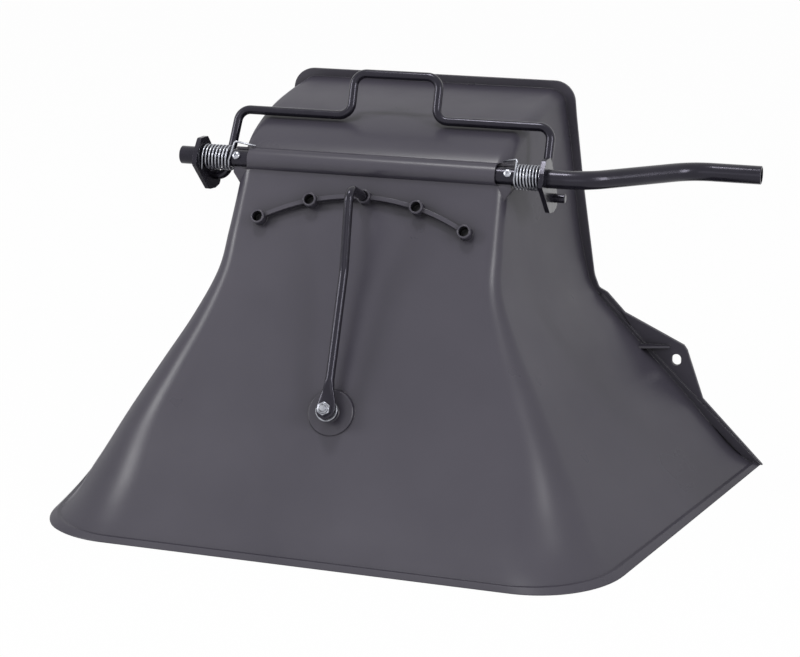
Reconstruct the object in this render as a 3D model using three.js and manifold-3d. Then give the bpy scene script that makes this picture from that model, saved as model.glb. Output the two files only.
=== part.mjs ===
// Mower deck deflector: a moulded hood that hangs on a bent cross tube, with a sprung
// bail latch round the tube and a five-position lever on the outer face.
// Millimetres. +X runs along the tube, +Y points to the mower deck, -Y is the outer
// face and +Z is up. The shapes are drawn about the tube's axis on the centre line,
// and the finished group then stands with the hood's bottom edge on z = 0.
import * as THREE from 'three';
import { mergeVertices } from 'three/addons/utils/BufferGeometryUtils.js';
import Module from 'manifold-3d';

const wasm = await Module();
wasm.setup();

// Overall sizes of the hood.
const wall = 3.2;
const rimY = 214;
const bottomZ = -372;
const overrun = 6;
const clearance = 0.3;

// Half length of the barrel over the cross tube. The hood's neck is a little wider.
const barrelHalf = 143.5;

// Form stations from the rim, over the roof, round the tube and down the outer face.
// Each one gives the centre line (y, z), the half width of the flat part's corner, the
// corner radius, and where its side wall meets the deck-side rim (x, z).
const stations = [
  { y: 220, z: 60.5, half: barrelHalf + 21.5, corner: 20, rimX: 167, rimZ: 34 },
  { y: 150, z: 53, half: barrelHalf + 16.5, corner: 19, rimX: 171, rimZ: 12 },
  { y: 100, z: 46, half: barrelHalf + 13.5, corner: 18, rimX: 174, rimZ: -10 },
  { y: 52, z: 34.5, half: barrelHalf + 10.5, corner: 17, rimX: 178, rimZ: -40 },
  { y: 18, z: 21, half: barrelHalf + 8.5, corner: 16, rimX: 181, rimZ: -68 },
  { y: -4, z: 1, half: barrelHalf + 7.5, corner: 16, rimX: 185, rimZ: -96 },
  { y: -17, z: -25, half: barrelHalf + 8.5, corner: 16, rimX: 190, rimZ: -124 },
  { y: -43, z: -71, half: barrelHalf + 11.5, corner: 17, rimX: 196, rimZ: -150 },
  { y: -66, z: -112, half: barrelHalf + 16.5, corner: 20, rimX: 205, rimZ: -174 },
  { y: -93, z: -160, half: 181, corner: 28, rimX: 234, rimZ: -206 },
  { y: -121, z: -208, half: 208, corner: 37, rimX: 268, rimZ: -240 },
  { y: -155, z: -263, half: 238, corner: 50, rimX: 309, rimZ: -282 },
  { y: -195, z: -318, half: 264, corner: 78, rimX: 353, rimZ: -329 },
  { y: -225, z: -353, half: 282, corner: 94, rimX: 382, rimZ: -358 },
  { y: -248, z: bottomZ - overrun, half: 312, corner: 104, rimX: 421, rimZ: bottomZ - 8 },
];
const rowsPerStation = 2;
const cornerSteps = 6;
const wallSteps = 3;

// The left half narrows by this share towards the deck-side rim. Below footTop its wall
// is also drawn in, by up to leftFootIn at the bottom edge, and its lug by leftLugIn.
const leftTaper = 0.05;
const footTop = bottomZ + 42;
const leftFootIn = 25;
const leftLugIn = 6;

// Rim flange, bottom bead, foot ribs and side lugs.
const flangeThick = 4;
const flangeTop = 68.5;
const flangeHalf = 174;
const flangeCorner = 25;
const beadOut = 2.2;
const beadHeight = 4.5;
const ribOut = 2.4;
const lugThick = 5;
const webThick = 2.5;
const lugHole = { x: 305, z: -252.6, width: 11, height: 14 };

// Cross tube, with the barrel moulded round it.
const tubeRadius = 10;
const tubeWall = 2;
const boreRadius = tubeRadius + clearance;
const barrelRadius = 13.2;
const cradleLength = 15.5;
const cradleHalf = barrelHalf + cradleLength;
const screwX = barrelHalf + 11.7;
const screwHole = 2.7;

// Outer face: its plane leans out from the vertical by faceLean. The lever turns about
// the pivot, and its tip drops into one of the rings on an arc about the same pivot.
const faceLean = THREE.MathUtils.degToRad(27.6);
const pivot = { y: -142.2, z: -236.5 };
const indexRadius = 238.5;
const indexPitch = THREE.MathUtils.degToRad(14.75);
const indexCount = 5;
const rodRadius = 5;
const ringBore = rodRadius + 0.6;
const ringWall = 2.2;
const ringDepth = 12;
const ringFoot = -24;
const ribTop = -4.5;
const padRadius = 24.5;
const bossRadius = 8;
const bossHeight = 12.5;
const seatDepth = 12;

// Pivot stack, measured out along the pivot axis from the pad.
const boltRadius = 4;
const boltHole = boltRadius + clearance;
const acrossFlats = 13;
const washerRadius = 12;
const washerThick = 1.6;
const paddleThick = 4.5;
const paddleRadius = 10.5;
const nutHeight = 8;
const headHeight = 5.3;
const vaneSheet = 2.5;

// Torsion springs between the barrel's ends and the latch plates.
const springWire = 1.1;
const springRadius = 12.9;
const springTurns = 8;
const springInner = cradleHalf + 4;
const springLeg = {
  left: { peak: screwX + 0.8, rest: barrelHalf - 7.5, over: 1 },
  right: { peak: screwX + 10.8, rest: barrelHalf + 3.5, over: 3 },
};

// Latch: plates on the tube and one bent wire joining them.
const plateX = { left: -springInner - 36, right: springInner + 32 };
const plateThick = 5;
const legX = springInner + 22;
const shoulder = { left: 8 - legX, right: legX + 1 };
const peg = { y: 33, z: -28, left: plateX.left - 18, right: plateX.right + 14 };
const bailBar = { y: 60, z: 43.5 };
const hump = { y: 77, z: 88.5, left: -45, right: 54 };
const bailBend = 14;
const pegBend = 7;

// Tube ends: a short one past the left plate, and a long S-bend past the right peg.
const tubeLeft = plateX.left - 25;
const bendStart = peg.right + 29;
const bendEnd = bendStart + 98;
const bendOffset = 87;
const bendRadius = 62;
const tubeRight = bendEnd + 75;

// Turns a closed geometry into a solid, whichever way its faces are wound.
function solid(geometry) {
  const bare = geometry.clone();
  bare.deleteAttribute('normal');
  bare.deleteAttribute('uv');
  const merged = mergeVertices(bare, 1e-4);
  const position = merged.attributes.position.array;
  const index = merged.index.array;
  const kept = [];
  for (let i = 0; i < index.length; i += 3) {
    const [a, b, c] = [index[i], index[i + 1], index[i + 2]];
    if (a !== b && b !== c && c !== a) kept.push(a, b, c);
  }
  if (signedVolume(position, kept) < 0) kept.reverse();
  const triVerts = new Uint32Array(kept);
  return new wasm.Manifold(new wasm.Mesh({ numProp: 3, vertProperties: position, triVerts }));
}

function signedVolume(position, index) {
  const [a, b, c] = [new THREE.Vector3(), new THREE.Vector3(), new THREE.Vector3()];
  let sum = 0;
  for (let i = 0; i < index.length; i += 3) {
    a.fromArray(position, index[i] * 3);
    b.fromArray(position, index[i + 1] * 3);
    c.fromArray(position, index[i + 2] * 3);
    sum += a.dot(b.cross(c));
  }
  return sum;
}

function geometryOf(body) {
  const mesh = body.getMesh();
  const geometry = new THREE.BufferGeometry();
  geometry.setAttribute('position', new THREE.BufferAttribute(mesh.vertProperties, 3));
  geometry.setIndex(new THREE.BufferAttribute(mesh.triVerts, 1));
  geometry.computeVertexNormals();
  return geometry;
}

// Frame of the outer face: X along the tube, Y up the slope, Z out along the pivot axis.
function faceFrame() {
  const up = new THREE.Vector3(0, Math.sin(faceLean), Math.cos(faceLean));
  const out = new THREE.Vector3(0, -Math.cos(faceLean), Math.sin(faceLean));
  const frame = new THREE.Matrix4().makeBasis(new THREE.Vector3(1, 0, 0), up, out);
  return frame.setPosition(0, pivot.y, pivot.z);
}

// Frame across the tube at one place along it, with Z out along the screws.
function tubeFrame(x) {
  return faceFrame().setPosition(x, 0, 0);
}

// Round body along Z from a closed outline of [radius, height] pairs.
function turned(outline, segments) {
  const points = outline.map(([r, h]) => new THREE.Vector2(r, h));
  return new THREE.LatheGeometry(points, segments).rotateX(Math.PI / 2);
}

function disc(radius, low, high, segments = 24) {
  return turned([[0, low], [radius, low], [radius, high], [0, high]], segments);
}

function washer(radius, bore, low, high) {
  return turned([[bore, low], [radius, low], [radius, high], [bore, high], [bore, low]], 28);
}

function slab(shape, low, high, curveSegments = 6) {
  const depth = high - low;
  const options = { depth, bevelEnabled: false, curveSegments };
  return new THREE.ExtrudeGeometry(shape, options).translate(0, 0, low);
}

// Lays a shape drawn in (y, z) across the tube, from low to high along X.
function acrossTube(shape, low, high) {
  const stand = new THREE.Matrix4().makeBasis(
    new THREE.Vector3(0, 1, 0),
    new THREE.Vector3(0, 0, 1),
    new THREE.Vector3(1, 0, 0),
  );
  return slab(shape, low, high, 16).applyMatrix4(stand);
}

// Lays a shape drawn in (x, z) parallel to the rim, from low to high along Y.
function alongRim(shape, low, high) {
  const geometry = slab(shape, -high, -low).rotateX(Math.PI / 2);
  return geometry;
}

// Turns a body made along Z to lie along the tube.
function alongX(geometry) {
  return geometry.rotateY(Math.PI / 2);
}

function circle(x, y, radius) {
  return new THREE.Path().absarc(x, y, radius, 0, Math.PI * 2, true);
}

function hexagon(flats) {
  const radius = flats / Math.sqrt(3);
  const corners = [];
  for (let i = 0; i < 6; i += 1) {
    const angle = (i + 0.5) * Math.PI / 3;
    corners.push(new THREE.Vector2(radius * Math.cos(angle), radius * Math.sin(angle)));
  }
  return new THREE.Shape(corners);
}

// Polygon with every corner rounded by an arc of the same radius.
function roundedPolygon(corners, radius, steps = 4) {
  const points = [];
  const count = corners.length;
  for (let i = 0; i < count; i += 1) {
    const here = new THREE.Vector3(corners[i][0], corners[i][1], 0);
    const before = new THREE.Vector3(...corners[(i + count - 1) % count], 0);
    const after = new THREE.Vector3(...corners[(i + 1) % count], 0);
    const bend = cornerArc(before, here, after, radius, steps);
    bend.forEach(({ point }) => points.push(new THREE.Vector2(point.x, point.y)));
  }
  return new THREE.Shape(points);
}

// Points and directions of the arc that rounds the corner between two straight runs.
function cornerArc(before, here, after, radius, steps) {
  const into = here.clone().sub(before).normalize();
  const out = after.clone().sub(here).normalize();
  const turn = into.angleTo(out);
  if (turn < 1e-3) return [{ point: here.clone(), tangent: into }];
  const side = out.clone().addScaledVector(into, -out.dot(into)).normalize();
  const start = here.clone().addScaledVector(into, -radius * Math.tan(turn / 2));
  const centre = start.clone().addScaledVector(side, radius);
  const arc = [];
  for (let k = 0; k <= steps; k += 1) {
    const angle = turn * k / steps;
    const point = centre.clone()
      .addScaledVector(side, -radius * Math.cos(angle))
      .addScaledVector(into, radius * Math.sin(angle));
    const tangent = into.clone().multiplyScalar(Math.cos(angle))
      .addScaledVector(side, Math.sin(angle));
    arc.push({ point, tangent });
  }
  return arc;
}

// Straight runs joined by bends, as a wire or tube is bent, with one radius or one each.
function bentRun(corners, bends, steps) {
  const first = corners[1].clone().sub(corners[0]).normalize();
  const run = [{ point: corners[0].clone(), tangent: first }];
  for (let i = 1; i < corners.length - 1; i += 1) {
    const radius = Array.isArray(bends) ? bends[i - 1] : bends;
    run.push(...cornerArc(corners[i - 1], corners[i], corners[i + 1], radius, steps));
  }
  const last = corners.length - 1;
  const final = corners[last].clone().sub(corners[last - 1]).normalize();
  run.push({ point: corners[last].clone(), tangent: final });
  return run;
}

// Path that an extrusion follows exactly through its own stations.
class StationPath extends THREE.Curve {
  constructor(run) {
    super();
    this.run = run;
  }

  station(t) {
    return this.run[Math.round(t * (this.run.length - 1))];
  }

  getPoint(t) {
    return this.station(t).point.clone();
  }

  getPointAt(t) {
    return this.getPoint(t);
  }

  getTangentAt(t) {
    return this.station(t).tangent.clone();
  }
}

function swept(run, radius, bore, sides) {
  const shape = new THREE.Shape().absarc(0, 0, radius, 0, Math.PI * 2, false);
  if (bore > 0) shape.holes.push(circle(0, 0, bore));
  return new THREE.ExtrudeGeometry(shape, {
    steps: run.length - 1,
    curveSegments: sides / 2,
    bevelEnabled: false,
    extrudePath: new StationPath(run),
  });
}

// Smooth stations of the hood between the form stations.
function formRow(index) {
  const t = index / (stations.length - 1);
  const line = (read) => new THREE.CatmullRomCurve3(stations.map(read), false, 'catmullrom').getPoint(t);
  const centre = line((s) => new THREE.Vector3(s.half, s.y, s.z));
  const rim = line((s) => new THREE.Vector3(s.rimX, s.corner, s.rimZ));
  return {
    cornerPoint: centre,
    rimPoint: new THREE.Vector3(rim.x, rimY + overrun, rim.z),
    radius: rim.y,
  };
}

// One side of a row: across the flat, round the corner and along the wall to the rim.
function halfRow({ cornerPoint, rimPoint, radius }) {
  const middle = new THREE.Vector3(0, cornerPoint.y, cornerPoint.z);
  const bend = cornerArc(middle, cornerPoint, rimPoint, radius, cornerSteps);
  const points = bend.map(({ point }) => point);
  const flat = middle.clone().lerp(points[0], 0.5);
  const end = points[points.length - 1];
  const side = [];
  for (let k = 1; k <= wallSteps; k += 1) side.push(end.clone().lerp(rimPoint, k / wallSteps));
  return [middle, flat, ...points, ...side];
}

// Place on the left half that matches a place on the right half.
function leftOf(x, y, z) {
  const share = Math.max(0, y) / rimY;
  const low = Math.max(0, (footTop - z) / (footTop - bottomZ + overrun)) ** 2;
  const front = stations[stations.length - 1].y;
  const along = Math.max(0, y - front) / (rimY - front);
  const bow = Math.max(0, 1 - ((along - 0.52) / 0.6) ** 2);
  return leftFootIn * low * bow - x * (1 - leftTaper * share * share);
}

function fullRow(index) {
  const right = halfRow(formRow(index));
  const left = right.slice(1).reverse().map((p) => new THREE.Vector3(leftOf(p.x, p.y, p.z), p.y, p.z));
  return [...left, ...right];
}

// Grid of the hood's outer skin, moved along its normals by offset.
function skinGrid(from, to, rows, offset) {
  const grid = [];
  for (let i = 0; i <= rows; i += 1) grid.push(fullRow(from + (to - from) * i / rows));
  const columns = grid[0].length;
  return grid.map((row, i) => row.map((point, j) => {
    const across = row[Math.min(j + 1, columns - 1)].clone().sub(row[Math.max(j - 1, 0)]);
    const up = grid[Math.max(i - 1, 0)][j];
    const down = grid[Math.min(i + 1, rows)][j];
    const normal = across.cross(down.clone().sub(up)).normalize().negate();
    return point.clone().addScaledVector(normal, offset);
  }));
}

// Closes a skin grid across the deck side and both ends.
function closedForm(grid) {
  const rows = grid.length;
  const columns = grid[0].length;
  const position = grid.flat().flatMap((p) => [p.x, p.y, p.z]);
  const at = (i, j) => i * columns + j;
  const index = [];
  const quad = (a, b, c, d) => index.push(a, b, c, a, c, d);
  for (let i = 0; i < rows - 1; i += 1) {
    for (let j = 0; j < columns - 1; j += 1) {
      quad(at(i, j), at(i, j + 1), at(i + 1, j + 1), at(i + 1, j));
    }
    quad(at(i, columns - 1), at(i, 0), at(i + 1, 0), at(i + 1, columns - 1));
  }
  for (let j = 1; j < columns - 1; j += 1) {
    index.push(at(0, 0), at(0, j + 1), at(0, j));
    index.push(at(rows - 1, 0), at(rows - 1, j), at(rows - 1, j + 1));
  }
  const geometry = new THREE.BufferGeometry();
  geometry.setAttribute('position', new THREE.Float32BufferAttribute(position, 3));
  geometry.setIndex(index);
  return geometry;
}

function hoodForm(offset, from = 0) {
  const last = stations.length - 1;
  const rows = Math.ceil((last - from) * rowsPerStation);
  return solid(closedForm(skinGrid(from, last, rows, offset)));
}

// Rounded bead that stands out round the bottom edge.
function bottomBead() {
  const last = stations.length - 1;
  const fall = stations[last - 1].z - stations[last].z;
  const from = last - (beadHeight + bottomZ - stations[last].z) / fall;
  return hoodForm(beadOut, from);
}

// Thin rib along the foot of each flared side wall, just above the flange.
function footRib(side) {
  const line = [[212, -181], [265, -236], [329, -298], [407, bottomZ]];
  const across = (x, z) => (side > 0 ? x : leftOf(x, rimY, z));
  const inner = line.map(([x, z]) => new THREE.Vector2(across(x - 6, z), z - 4));
  const outer = line.map(([x, z]) => new THREE.Vector2(across(x + ribOut, z), z + 1));
  const shape = new THREE.Shape([...inner, ...outer.reverse()]);
  return solid(alongRim(shape, rimY - flangeThick - ribOut, rimY - flangeThick / 2));
}

// Flat flange round the deck-side opening.
function rimFlange() {
  const right = [
    [flangeHalf, flangeTop], [178, 29], [187, -44],
    [204, -158], [210, -173], [220, -178], [241, -200], [413, bottomZ - 2],
  ];
  const left = right.map(([x, z]) => [leftOf(x, rimY, z), z]).reverse();
  const outline = [...left, ...right];
  const points = [];
  outline.forEach(([x, z], i) => {
    if (z !== flangeTop) {
      points.push(new THREE.Vector2(x, z));
      return;
    }
    const here = new THREE.Vector3(x, z, 0);
    const before = new THREE.Vector3(...outline[i - 1], 0);
    const after = new THREE.Vector3(...outline[i + 1], 0);
    cornerArc(before, here, after, flangeCorner, 8)
      .forEach(({ point }) => points.push(new THREE.Vector2(point.x, point.y)));
  });
  return solid(alongRim(new THREE.Shape(points), rimY - flangeThick, rimY));
}

// Fixing lug in the rim's plane, with a slotted hole and a gusset back to the side wall.
function sideLug(side) {
  const across = (x) => (side > 0 ? x : leftOf(x - leftLugIn, rimY, 0));
  const outer = [[238, -199], [313, -234.5], [317, -240], [339.5, -303], [300, -290]];
  const plate = new THREE.Shape(outer.map(([x, z]) => new THREE.Vector2(across(x), z)));
  const gusset = new THREE.Shape([
    new THREE.Vector2(across(240), rimY - 1),
    new THREE.Vector2(across(297), rimY - 1),
    new THREE.Vector2(across(297), rimY - lugThick - 2.5),
    new THREE.Vector2(across(255), rimY - 22),
    new THREE.Vector2(across(240), rimY - 27),
  ]);
  const web = slab(gusset, -236 - webThick, -236);
  return solid(alongRim(plate, rimY - lugThick, rimY)).add(solid(web));
}

function lugSlot(side) {
  const radius = lugHole.width / 2;
  const reach = (lugHole.height - lugHole.width) / 2;
  const slot = new THREE.Shape();
  const x = side > 0 ? lugHole.x : leftOf(lugHole.x - leftLugIn, rimY, 0);
  slot.absarc(x, lugHole.z + reach, radius, 0, Math.PI, false);
  slot.absarc(x, lugHole.z - reach, radius, Math.PI, Math.PI * 2, false);
  return solid(alongRim(slot, rimY - 10, rimY + 2));
}

// Index rings on their arc, joined by one thin rib.
function indexAngles() {
  const first = -(indexCount - 1) / 2 * indexPitch;
  return Array.from({ length: indexCount }, (_, i) => first + i * indexPitch);
}

function onArc(geometry, angle) {
  const x = indexRadius * Math.sin(angle);
  const y = indexRadius * Math.cos(angle);
  return geometry.translate(x, y, 0).applyMatrix4(faceFrame());
}

function indexRings() {
  const outer = ringBore + ringWall;
  const posts = indexAngles().map((angle) => solid(onArc(disc(outer, ringFoot, 0, 20), angle)));
  const sweep = indexPitch * (indexCount - 1) / 2;
  const half = Math.PI / 2;
  const band = new THREE.Shape();
  band.absarc(0, 0, indexRadius + 2, half - sweep, half + sweep, false);
  band.absarc(0, 0, indexRadius - 2, half + sweep, half - sweep, true);
  const rib = solid(slab(band, ringFoot, ribTop, 20).applyMatrix4(faceFrame()));
  return posts.reduce((sum, post) => sum.add(post), rib);
}

function indexBores() {
  const bores = indexAngles().map((angle) => solid(onArc(disc(ringBore, -ringDepth, 2, 20), angle)));
  return bores.reduce((sum, bore) => sum.add(bore));
}

// Round pad on the face with the pivot's standing boss.
function pivotPad() {
  const outline = [[0, -14], [padRadius + 1.5, -14], [padRadius + 1.5, -4], [padRadius, 0]];
  outline.push([bossRadius + 1, 0], [bossRadius, bossHeight], [0, bossHeight]);
  return solid(turned(outline, 36).applyMatrix4(faceFrame()));
}

// Barrel over the tube and the open cradle that each end of it runs on into.
function barrel() {
  return solid(alongX(disc(barrelRadius, -cradleHalf, cradleHalf, 36)));
}

// Short web that holds each cradle from below, down to the side wall.
function cradleWeb(side) {
  const end = cradleHalf;
  const corners = [[end - 25, 0], [end, 0], [end, -14], [end - 7, -25], [end - 25, -38]];
  const shape = new THREE.Shape(corners.map(([x, z]) => new THREE.Vector2(side * x, z)));
  return solid(alongRim(shape, -9, 12));
}

function endWindow(side) {
  const near = barrelHalf - 2;
  const far = cradleHalf + 8;
  const tall = barrelRadius - 1.5;
  const window = roundedPolygon([
    [side * near, -tall], [side * far, -tall - 6], [side * far, tall + 6], [side * near, tall],
  ], 4);
  return solid(slab(window, 3, 30).applyMatrix4(tubeFrame(0)));
}

function throughHole(frame, radius, low, high) {
  return solid(disc(radius, low, high, 20).applyMatrix4(frame));
}

function hoodShell() {
  const seat = solid(disc(15, -seatDepth, -4).applyMatrix4(faceFrame()));
  let body = hoodForm(0)
    .add(bottomBead())
    .add(rimFlange())
    .add(indexRings())
    .add(pivotPad());
  for (const side of [-1, 1]) {
    body = body.add(sideLug(side)).add(footRib(side)).add(cradleWeb(side));
  }
  body = body.subtract(hoodForm(-wall)).add(barrel()).add(seat);
  body = body.subtract(indexBores());
  body = body.subtract(throughHole(faceFrame(), boltHole, -30, 30));
  body = body.subtract(solid(alongX(disc(boreRadius, -cradleHalf - 20, cradleHalf + 20, 36))));
  for (const side of [-1, 1]) {
    body = body.subtract(endWindow(side)).subtract(lugSlot(side));
    body = body.subtract(throughHole(tubeFrame(side * screwX), screwHole, -30, 10));
  }
  const span = 3 * (rimY - bottomZ);
  const keep = new THREE.BoxGeometry(span, span, span);
  keep.translate(0, rimY - span / 2, bottomZ + span / 2);
  return body.intersect(solid(keep));
}

// Cross tube: straight through the barrel, then an S-bend to an offset straight end.
function crossTube() {
  const run = bentRun([
    new THREE.Vector3(tubeLeft, 0, 0),
    new THREE.Vector3(bendStart, 0, 0),
    new THREE.Vector3(bendEnd, bendOffset, 0),
    new THREE.Vector3(tubeRight, bendOffset, 0),
  ], bendRadius, 6);
  let body = solid(swept(run, tubeRadius, tubeRadius - tubeWall, 20));
  for (const side of [-1, 1]) {
    body = body.subtract(throughHole(tubeFrame(side * screwX), screwHole, -20, 20));
  }
  return body;
}

// Pan-head screw through the tube into the cradle.
function tubeScrew(side) {
  const seat = tubeRadius + clearance;
  const outline = [
    [0, -15], [2.3, -15], [2.3, seat], [4.7, seat], [4.7, seat + 1.4],
    [3.6, seat + 2.9], [2, seat + 3.4], [2, seat + 1.6], [0, seat + 1.6],
  ];
  return solid(turned(outline, 20).applyMatrix4(tubeFrame(side * screwX)));
}

// Torsion spring: the coils, a long leg over the barrel and a short leg by the plate.
function torsionSpring(side) {
  const perTurn = 11;
  const turns = springTurns;
  const run = [];
  const end = side > 0 ? 'right' : 'left';
  const outer = Math.abs(plateX[end]) - plateThick / 2 - springWire - 2 * clearance;
  const reach = outer - springInner;
  const rise = reach / (turns * Math.PI * 2 * springRadius);
  const leg = springLeg[end];
  const peak = new THREE.Vector3(leg.peak, -9.5, 21);
  const rest = new THREE.Vector3(leg.rest, leg.over, barrelRadius + springWire + 2 * clearance);
  run.push({ point: rest, tangent: peak.clone().sub(rest).normalize() });
  const coilStart = new THREE.Vector3(springInner, -springRadius, 6);
  run.push(...cornerArc(rest, peak, coilStart, 2.4, 4));
  for (let i = 0; i <= turns * perTurn; i += 1) {
    const angle = 2 * Math.PI * i / perTurn;
    const x = springInner + reach * i / (turns * perTurn);
    const y = -springRadius * Math.cos(angle);
    const z = -springRadius * Math.sin(angle);
    const tangent = new THREE.Vector3(rise, Math.sin(angle), -Math.cos(angle)).normalize();
    run.push({ point: new THREE.Vector3(x, y, z), tangent });
  }
  const last = run[run.length - 1];
  run.push({ point: last.point.clone().addScaledVector(last.tangent, 12), tangent: last.tangent });
  const body = solid(swept(run, springWire, 0, 6));
  return side > 0 ? body : body.mirror([1, 0, 0]);
}

// Latch plate: a flat lever on the tube with a rounded nose and a hole for the bail.
function latchPlate(side) {
  const outline = [
    [-9, 22], [10, 21], [18, 12], [46, -30], [43, -38], [28, -42], [3, -38], [-27, -4], [-21, 9],
  ].reverse();
  const shape = roundedPolygon(outline, 3.5, 3);
  const holes = [circle(0, 0, boreRadius), circle(peg.y, peg.z, rodRadius + clearance)];
  shape.holes.push(...holes);
  const middle = side > 0 ? plateX.right : plateX.left;
  return solid(acrossTube(shape, middle - plateThick / 2, middle + plateThick / 2));
}

// Bail: one wire from peg to peg, with the finger hump in the middle.
function bailHandle() {
  const at = (x, place) => new THREE.Vector3(x, place.y, place.z);
  const run = bentRun([
    at(peg.left, peg), at(-legX, peg), at(shoulder.left, bailBar), at(hump.left, bailBar),
    at(hump.left, hump), at(hump.right, hump), at(hump.right, bailBar),
    at(shoulder.right, bailBar), at(legX, peg), at(peg.right, peg),
  ], [pegBend, ...Array(6).fill(bailBend), pegBend], 4);
  return solid(swept(run, rodRadius, 0, 12));
}

// Lever: a bent rod whose lower end is pressed flat into a paddle round the bolt.
function adjusterLever() {
  const base = bossHeight + washerThick + 2 * clearance;
  const middle = base + paddleThick / 2;
  const at = (along, out) => new THREE.Vector3(0, along, out);
  const run = bentRun([
    at(17, middle), at(60, middle + 2), at(150, 25), at(indexRadius - 4.4, 47),
    at(indexRadius, ribTop + clearance),
  ], 12, 5);
  const rod = solid(swept(run, rodRadius, 0, 12));
  const paddle = new THREE.Shape();
  paddle.absarc(0, 0, paddleRadius, Math.PI * 0.93, Math.PI * 2.07, false);
  paddle.lineTo(rodRadius, 28);
  paddle.lineTo(-rodRadius, 28);
  paddle.holes.push(circle(0, 0, boltHole));
  const flat = solid(slab(paddle, base, base + paddleThick, 10));
  return flat.add(rod).transform(faceFrame().toArray());
}

function pivotNut() {
  const base = bossHeight + washerThick + paddleThick + 3 * clearance;
  const hex = solid(slab(hexagon(acrossFlats), base, base + nutHeight - 2));
  const collar = solid(disc(6, base + nutHeight - 2.5, base + nutHeight));
  const bore = solid(disc(boltHole, base - 2, base + nutHeight + 2));
  return hex.add(collar).subtract(bore).transform(faceFrame().toArray());
}

function pivotBolt() {
  const vane = vaneSheet + washerThick + 3 * clearance;
  const head = -seatDepth - vane;
  const hex = solid(slab(hexagon(acrossFlats), head - headHeight, head));
  const top = bossHeight + washerThick + paddleThick + nutHeight + 2.5;
  const shank = solid(turned([
    [0, head - 2], [boltRadius, head - 2], [boltRadius, top - 1], [boltRadius - 1, top], [0, top],
  ], 20));
  return hex.add(shank).transform(faceFrame().toArray());
}

// Vane inside the hood: a bent sheet on the bolt that steers the cuttings.
function steeringVane() {
  const top = -seatDepth - clearance;
  const base = new THREE.Shape([
    new THREE.Vector2(-16, -22), new THREE.Vector2(22, -22),
    new THREE.Vector2(22, 22), new THREE.Vector2(-16, 22),
  ]);
  base.holes.push(circle(0, 0, boltHole));
  const foot = solid(slab(base, top - vaneSheet, top, 10));
  const fin = roundedPolygon([[-90, -22], [-90, -78], [80, -68], [80, -22]].reverse(), 10);
  const stand = new THREE.Matrix4().makeBasis(
    new THREE.Vector3(0, 1, 0),
    new THREE.Vector3(0, 0, 1),
    new THREE.Vector3(1, 0, 0),
  );
  const blade = solid(slab(fin, 19.5, 19.5 + vaneSheet).applyMatrix4(stand));
  const neck = new THREE.BoxGeometry(vaneSheet, 44, 14);
  neck.translate(19.5 + vaneSheet / 2, 0, top - 7);
  return foot.add(solid(neck)).add(blade).transform(faceFrame().toArray());
}

function faceWasher(low) {
  const geometry = washer(washerRadius, boltHole, low, low + washerThick);
  return solid(geometry.applyMatrix4(faceFrame()));
}

// Materials.
function finish(color, roughness, metalness) {
  return new THREE.MeshStandardMaterial({ color, roughness, metalness });
}

const hoodPlastic = () => finish(0x56525a, 0.55, 0);
const blackPaint = () => finish(0x26242a, 0.25, 0.3);
const zincSteel = () => finish(0xb4b6bc, 0.35, 0.9);

const model = new THREE.Group();

function place(name, body, material) {
  const mesh = new THREE.Mesh(geometryOf(body), material);
  mesh.name = name;
  model.add(mesh);
}

place('hood_shell', hoodShell(), hoodPlastic());
place('cross_tube', crossTube(), blackPaint());
for (const [label, side] of [['left', -1], ['right', 1]]) {
  place(`tube_screw_${label}`, tubeScrew(side), zincSteel());
  place(`torsion_spring_${label}`, torsionSpring(side), zincSteel());
  place(`latch_plate_${label}`, latchPlate(side), blackPaint());
}
place('bail_handle', bailHandle(), blackPaint());
place('adjuster_lever', adjusterLever(), blackPaint());
place('lever_washer', faceWasher(bossHeight + clearance), zincSteel());
place('pivot_nut', pivotNut(), zincSteel());
place('pivot_bolt', pivotBolt(), zincSteel());
place('inner_washer', faceWasher(-seatDepth - vaneSheet - washerThick - 2 * clearance), zincSteel());
place('steering_vane', steeringVane(), blackPaint());

// Stands the group on its bottom edge with the origin under the middle of its box.
const box = new THREE.Box3().setFromObject(model, true);
const middle = box.getCenter(new THREE.Vector3());
model.position.set(-middle.x, -middle.y, -box.min.z);

export default model;
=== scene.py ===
# Mower deck deflector: the fine surfaces, materials, light and camera of the part.
# Shapes are drawn in millimetres about the cross tube's axis on the centre line, with
# +X along the tube, +Y towards the mower deck and +Z up, and moved to the frame at the end.
import math

import bmesh
import bpy
import numpy as np
from mathutils import Matrix, Vector


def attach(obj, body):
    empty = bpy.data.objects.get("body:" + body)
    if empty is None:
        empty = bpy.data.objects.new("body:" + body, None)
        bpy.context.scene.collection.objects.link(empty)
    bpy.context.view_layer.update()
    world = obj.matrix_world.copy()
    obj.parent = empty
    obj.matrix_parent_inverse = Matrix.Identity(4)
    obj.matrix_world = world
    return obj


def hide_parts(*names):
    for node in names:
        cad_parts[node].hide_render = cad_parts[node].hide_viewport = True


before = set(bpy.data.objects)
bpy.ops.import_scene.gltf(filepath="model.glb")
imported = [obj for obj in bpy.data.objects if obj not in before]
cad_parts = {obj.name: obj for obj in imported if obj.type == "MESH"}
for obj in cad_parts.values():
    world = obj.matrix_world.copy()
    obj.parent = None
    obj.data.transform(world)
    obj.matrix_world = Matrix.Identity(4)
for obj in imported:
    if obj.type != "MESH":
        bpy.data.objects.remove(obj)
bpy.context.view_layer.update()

# Place of the tube's axis in the frame.
SHIFT = np.array([-14.0134, 15.7093, 372.0])

# Camera of the photograph: picture 800 x 657, focal length in pixels.
PICTURE_WIDTH = 800
FOCAL_PIXELS = 2130
CAMERA_TURN = 0.30990337
CAMERA_TILT = 0.28457593
CAMERA_SIDE = -30.5256
CAMERA_RISE = 175.9290
CAMERA_AWAY = 2321.6393

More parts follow.
